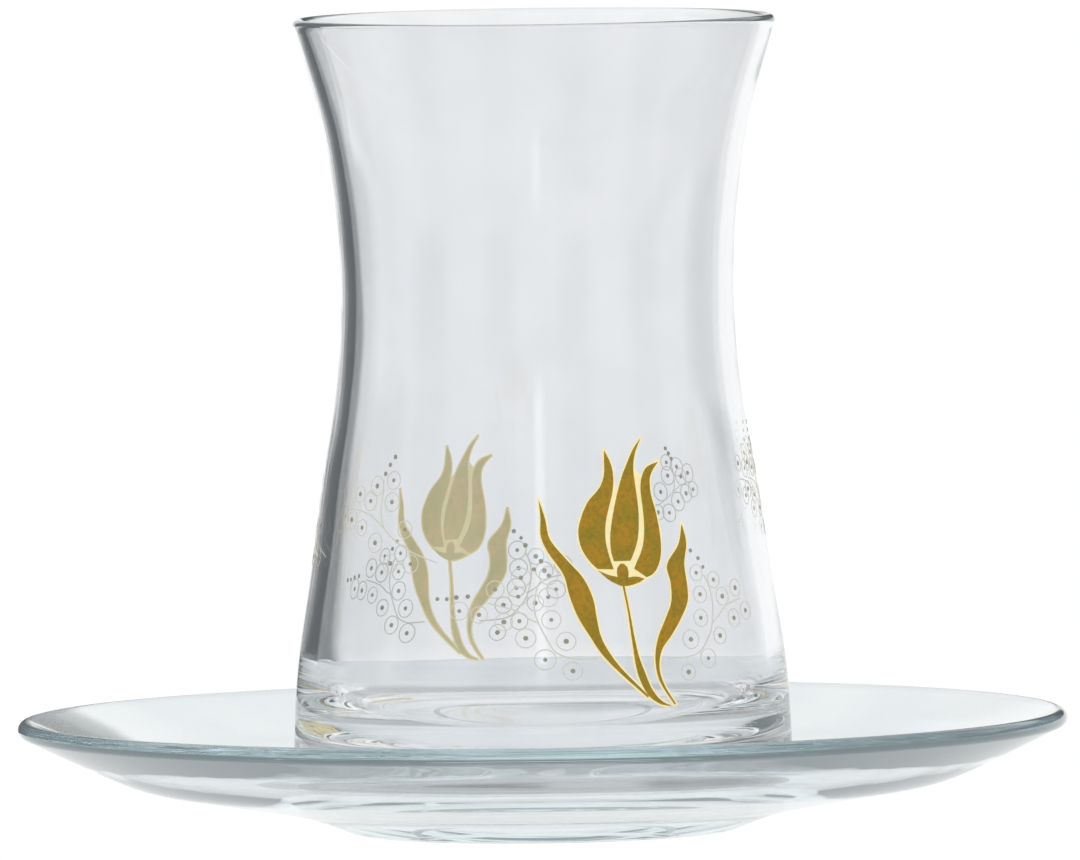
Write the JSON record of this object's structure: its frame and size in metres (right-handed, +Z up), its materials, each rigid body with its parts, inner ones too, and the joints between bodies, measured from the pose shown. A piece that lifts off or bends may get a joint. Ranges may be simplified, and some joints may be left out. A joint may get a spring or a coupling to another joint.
{
  "type": "turkish tea glass",
  "caption": "Empty clear waisted tea glass with a thick base and a gold tulip print, standing in a clear shallow glass saucer on a low round foot.",
  "frame": {"origin": "middle of the saucer's foot, on the table", "axes": "+Z up along the axis that the glass and the saucer share, X to the right, the printed front faces -Y"},
  "size_m": [0.118, 0.118, 0.0916],
  "materials": {
    "clear_glass": "clear polished soda-lime glass, very slightly uneven",
    "saucer_glass": "clear pressed soda-lime glass with a faint blue-green cast in its thick edge",
    "gold_print": "satin gold print, slightly mottled",
    "sprig_print": "fine pale gold-grey printed line",
    "outline_print": "pale cream printed edge round the gold"
  },
  "bodies": {
    "root": {"saucer": "saucer_glass", "tea_glass": "clear_glass"}
  },
  "joints": []
}
